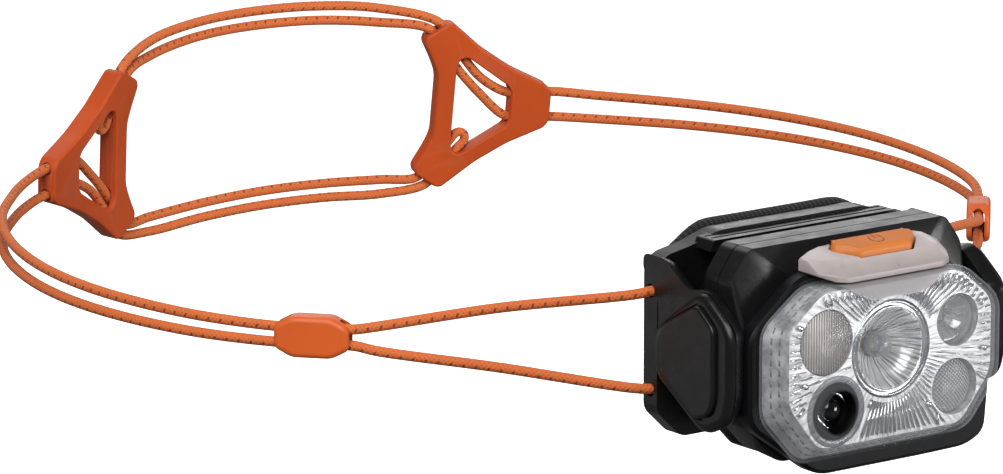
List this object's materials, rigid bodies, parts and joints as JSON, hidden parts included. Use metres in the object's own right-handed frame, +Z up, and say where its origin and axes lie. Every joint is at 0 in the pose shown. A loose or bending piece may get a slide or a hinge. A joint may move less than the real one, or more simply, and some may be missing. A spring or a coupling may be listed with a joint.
{
  "type": "headlamp",
  "caption": "Compact rechargeable headlamp: a tilting lamp with several lenses, a light sensor and a top button, on a doubled elastic cord headband with sliders and back triangles",
  "frame": {"origin": "middle of the head pad's flat rear face, where the lamp meets the forehead", "axes": "+Y out of the back of the pad towards the head, so the lamp faces -Y; +X to the right seen from in front of the lamp; +Z up"},
  "size_m": [0.2174, 0.2228, 0.0579],
  "materials": {
    "clear_window": "clear polycarbonate, glossy",
    "black_plastic": "fine moulded black",
    "gasket_rubber": "dull black rubber",
    "mirror_tray": "plastic plated like a mirror",
    "clear_lens": "polished clear acrylic",
    "circuit_board": "green solder mask",
    "emitter": "yellow phosphor on white",
    "frosted_hood": "frosted translucent plastic",
    "orange_plastic": "satin orange moulding",
    "satin_black": "satin black moulding with a fine texture",
    "battery_foil": "silver foil pouch",
    "steel": "bright steel",
    "knit_fabric": "black ribbed knit",
    "pad_foam": "soft black foam",
    "elastic_cord": "orange braided elastic with dark flecks"
  },
  "bodies": {
    "headband": {"bracket": "satin_black", "pivot_cover_left": "satin_black", "pivot_cover_right": "satin_black", "pivot_pin_left": "steel", "pivot_pin_right": "steel", "pad_cover": "knit_fabric", "pad_foam": "pad_foam", "cord_left": "elastic_cord", "cord_right": "elastic_cord", "triangle_left": "orange_plastic", "triangle_right": "orange_plastic"},
    "lamp": {"front_window": "clear_window", "front_rim": "black_plastic", "rim_gasket": "gasket_rubber", "lens_tray": "mirror_tray", "spot_lens": "clear_lens", "spot_ring": "mirror_tray", "flood_lens": "clear_lens", "upper_lens": "clear_lens", "lower_lens": "clear_lens", "sensor_barrel": "black_plastic", "sensor_dome": "clear_lens", "light_board": "circuit_board", "spot_emitter": "emitter", "flood_emitter": "emitter", "upper_emitter": "emitter", "lower_emitter": "emitter", "button_hood": "frosted_hood", "button_switch": "black_plastic", "body_shell": "satin_black", "driver_board": "circuit_board", "battery_cell": "battery_foil", "charge_port": "steel"},
    "button": {"power_button": "orange_plastic"},
    "cap": {"port_cap": "gasket_rubber"},
    "left_slider": {"slider_left": "orange_plastic"},
    "right_slider": {"slider_right": "orange_plastic"}
  },
  "joints": [
    {"name": "lamp_tilt", "type": "hinge", "parent": "headband", "child": "lamp", "pos_m": [0, -0.0221, -0.0021], "axis": [1, 0, 0], "range_deg": [0, 25]},
    {"name": "power_press", "type": "slide", "parent": "lamp", "child": "button", "axis": [0, 0, -1], "range_m": [0, 0.0006], "stiffness_N_per_m": 400, "springref_m": -0.002},
    {"name": "cap_flap", "type": "hinge", "parent": "lamp", "child": "cap", "pos_m": [0.0076, -0.0237, -0.0226], "axis": [0, 1, 0], "range_deg": [0, 110]},
    {"name": "left_slider_slide", "type": "slide", "parent": "headband", "child": "left_slider", "axis": [0.6601, -0.7511, 0], "range_m": [0, 0.004]},
    {"name": "right_slider_slide", "type": "slide", "parent": "headband", "child": "right_slider", "axis": [-0.6601, -0.7511, 0], "range_m": [0, 0.004]}
  ]
}
